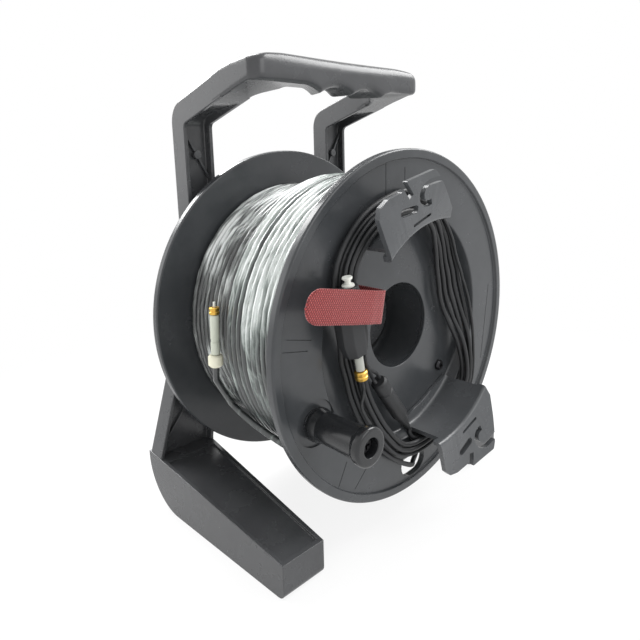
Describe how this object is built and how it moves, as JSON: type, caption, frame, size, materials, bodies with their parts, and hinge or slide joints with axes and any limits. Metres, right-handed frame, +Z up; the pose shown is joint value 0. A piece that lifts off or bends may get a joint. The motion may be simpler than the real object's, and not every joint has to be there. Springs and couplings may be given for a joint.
{
  "type": "portable cable drum",
  "caption": "Cable drum turning on one side of a moulded carrying stand, with a crank grip, hooks and a strapped lead on its front flange.",
  "frame": {"origin": "on the floor under the middle of the whole object's box, with the feet standing on Z = 0", "axes": "+Z up, the drum turns about Y, the front flange with the crank faces -Y and the stand is at +Y"},
  "size_m": [0.235, 0.1932, 0.3154],
  "materials": {
    "stand_plastic": "fine moulded texture, satin",
    "drum_plastic": "smooth moulding, half gloss",
    "crank_plastic": "polished moulding",
    "zinc_steel": "zinc plated",
    "bearing_plastic": "natural acetal",
    "cable_jacket": "cable jacket",
    "cable_film": "jacket under clear wrapping film",
    "lead_jacket": "soft black jacket",
    "strap_fabric": "hook-and-loop band",
    "white_plastic": "pale translucent sleeve",
    "cream_plastic": "cream moulding",
    "gold_collar": "bright crimped ring"
  },
  "bodies": {
    "stand": {"stand_frame": "stand_plastic", "axle_tube": "zinc_steel", "thrust_washer": "zinc_steel", "retaining_ring": "zinc_steel", "axle_cap": "stand_plastic", "axle_screw_1": "zinc_steel", "axle_screw_2": "zinc_steel", "axle_screw_3": "zinc_steel", "axle_screw_4": "zinc_steel"},
    "drum": {"bush_front": "bearing_plastic", "bush_rear": "bearing_plastic", "drum_core": "drum_plastic", "front_flange": "drum_plastic", "rear_flange": "drum_plastic", "cable_hook_upper": "drum_plastic", "cable_hook_lower": "drum_plastic", "crank_spindle": "zinc_steel", "crank_screw": "zinc_steel", "cable_core": "cable_jacket", "cable_winding": "cable_film", "end_sleeve": "white_plastic", "end_collar": "gold_collar", "end_nut": "cream_plastic", "fan_out_body": "lead_jacket", "fan_out_boot": "lead_jacket", "lead_coil": "lead_jacket", "lead_tail_loop": "lead_jacket", "lead_tail_short": "lead_jacket", "connector_housing": "lead_jacket", "connector_tube": "white_plastic", "connector_collar": "gold_collar", "connector_tip": "white_plastic", "tie_strap": "strap_fabric", "front_screw_1": "zinc_steel", "front_screw_2": "zinc_steel", "front_screw_3": "zinc_steel", "front_screw_4": "zinc_steel", "rear_screw_1": "zinc_steel", "rear_screw_2": "zinc_steel", "rear_screw_3": "zinc_steel", "rear_screw_4": "zinc_steel"},
    "crank": {"crank_grip": "crank_plastic"}
  },
  "joints": [
    {"name": "drum_spin", "type": "hinge", "parent": "stand", "child": "drum", "pos_m": [0, 0, 0.137], "axis": [0, 1, 0], "continuous": true},
    {"name": "crank_spin", "type": "hinge", "parent": "drum", "child": "crank", "pos_m": [-0.08569, -0.07565, 0.09885], "axis": [0, 1, 0], "continuous": true}
  ]
}
